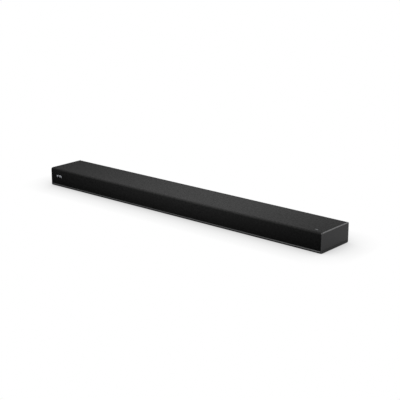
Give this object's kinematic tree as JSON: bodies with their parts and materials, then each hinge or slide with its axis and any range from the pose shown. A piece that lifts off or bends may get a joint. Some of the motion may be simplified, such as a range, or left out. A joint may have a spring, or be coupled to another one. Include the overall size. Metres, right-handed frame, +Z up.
{
  "type": "soundbar",
  "caption": "Long, low soundbar with cloth over its front and top, bevelled end caps, rear plug bays, control keys and bass ports, holding racetrack woofers and dome tweeters.",
  "frame": {"origin": "under the middle of the bar, at table height", "axes": "+X along the bar to the right as seen from the front, +Y from the front to the back, +Z up"},
  "size_m": [1.18, 0.145, 0.064],
  "materials": {
    "black_cloth": "knitted speaker cloth",
    "satin_grey_plastic": "fine satin moulding",
    "black_abs": "fine spark texture",
    "black_rubber": "matt",
    "foam": "closed-cell foam",
    "steel": "zinc plated",
    "black_steel": "black coated",
    "paper_cone": "coated paper",
    "silk_dome": "coated silk",
    "brass": "machined",
    "circuit_board": "solder resist",
    "aluminium": "extruded",
    "socket_plastic": "moulded",
    "socket_shell": "nickel plated",
    "ferrite": "sintered",
    "readout": "tinted diffuser",
    "lead_sleeve": "insulated lead",
    "can_sleeve": "shrink sleeve"
  },
  "bodies": {
    "housing": {"bottom_cover": "black_abs", "rubber_feet": "black_rubber", "left_end_cap": "satin_grey_plastic", "right_end_cap": "satin_grey_plastic", "grille_cloth": "black_cloth", "grille_carrier": "black_abs", "top_deck": "black_abs", "front_baffle": "black_abs", "chamber_dividers": "black_abs", "bass_port_left": "black_abs", "bass_port_right": "black_abs", "wall_inserts": "brass", "driver_gaskets": "foam", "driver_screws": "black_steel", "base_screws": "black_steel", "board_fixings": "steel", "main_board": "circuit_board", "power_board": "circuit_board", "amp_heatsink": "aluminium", "wireless_module": "socket_shell", "mains_transformer": "ferrite", "bulk_capacitor": "can_sleeve", "terminal_bay": "black_abs", "mains_bay": "black_abs", "hdmi_sockets": "socket_shell", "optical_socket": "socket_plastic", "usb_socket": "socket_shell", "mains_inlet": "socket_plastic", "key_board": "circuit_board", "display_board": "circuit_board", "display_module": "readout", "speaker_harness": "lead_sleeve", "rear_panel_left": "black_abs", "rear_panel_mains": "black_abs", "rear_panel_middle": "black_abs", "rear_panel_terminal": "black_abs", "rear_panel_right": "black_abs", "woofer_basket_1": "black_steel", "woofer_motors": "ferrite", "woofer_suspension_1": "black_rubber", "woofer_basket_2": "black_steel", "woofer_suspension_2": "black_rubber", "woofer_basket_3": "black_steel", "woofer_suspension_3": "black_rubber", "woofer_basket_4": "black_steel", "woofer_suspension_4": "black_rubber", "tweeter_bodies": "black_steel"},
    "key_volume_up": {"key_volume_up": "satin_grey_plastic"},
    "key_volume_down": {"key_volume_down": "satin_grey_plastic"},
    "key_pairing": {"key_pairing": "satin_grey_plastic"},
    "key_input": {"key_input": "satin_grey_plastic"},
    "key_power": {"key_power": "satin_grey_plastic"},
    "woofer_cone_1": {"woofer_cone_1": "paper_cone"},
    "woofer_cone_2": {"woofer_cone_2": "paper_cone"},
    "woofer_cone_3": {"woofer_cone_3": "paper_cone"},
    "woofer_cone_4": {"woofer_cone_4": "paper_cone"},
    "tweeter_dome_1": {"tweeter_dome_1": "silk_dome"},
    "tweeter_dome_2": {"tweeter_dome_2": "silk_dome"},
    "tweeter_dome_3": {"tweeter_dome_3": "silk_dome"}
  },
  "joints": [
    {"name": "key_volume_up_press", "type": "slide", "parent": "housing", "child": "key_volume_up", "axis": [0, -1, 0], "range_m": [0, 0.0005], "stiffness_N_per_m": 900},
    {"name": "key_volume_down_press", "type": "slide", "parent": "housing", "child": "key_volume_down", "axis": [0, -1, 0], "range_m": [0, 0.0005], "stiffness_N_per_m": 900},
    {"name": "key_pairing_press", "type": "slide", "parent": "housing", "child": "key_pairing", "axis": [0, -1, 0], "range_m": [0, 0.0005], "stiffness_N_per_m": 900},
    {"name": "key_input_press", "type": "slide", "parent": "housing", "child": "key_input", "axis": [0, -1, 0], "range_m": [0, 0.0005], "stiffness_N_per_m": 900},
    {"name": "key_power_press", "type": "slide", "parent": "housing", "child": "key_power", "axis": [0, -1, 0], "range_m": [0, 0.0005], "stiffness_N_per_m": 900},
    {"name": "woofer_1_stroke", "type": "slide", "parent": "housing", "child": "woofer_cone_1", "axis": [0, -1, 0], "range_m": [-0.002, 0.002], "stiffness_N_per_m": 1200, "deforming": ["woofer_suspension_1"]},
    {"name": "woofer_2_stroke", "type": "slide", "parent": "housing", "child": "woofer_cone_2", "axis": [0, -1, 0], "range_m": [-0.002, 0.002], "stiffness_N_per_m": 1200, "deforming": ["woofer_suspension_2"]},
    {"name": "woofer_3_stroke", "type": "slide", "parent": "housing", "child": "woofer_cone_3", "axis": [0, -1, 0], "range_m": [-0.002, 0.002], "stiffness_N_per_m": 1200, "deforming": ["woofer_suspension_3"]},
    {"name": "woofer_4_stroke", "type": "slide", "parent": "housing", "child": "woofer_cone_4", "axis": [0, -1, 0], "range_m": [-0.002, 0.002], "stiffness_N_per_m": 1200, "deforming": ["woofer_suspension_4"]},
    {"name": "tweeter_1_stroke", "type": "slide", "parent": "housing", "child": "tweeter_dome_1", "axis": [0, -1, 0], "range_m": [-0.00025, 0.00025], "stiffness_N_per_m": 900},
    {"name": "tweeter_2_stroke", "type": "slide", "parent": "housing", "child": "tweeter_dome_2", "axis": [0, -1, 0], "range_m": [-0.00025, 0.00025], "stiffness_N_per_m": 900},
    {"name": "tweeter_3_stroke", "type": "slide", "parent": "housing", "child": "tweeter_dome_3", "axis": [0, -1, 0], "range_m": [-0.00025, 0.00025], "stiffness_N_per_m": 900}
  ]
}
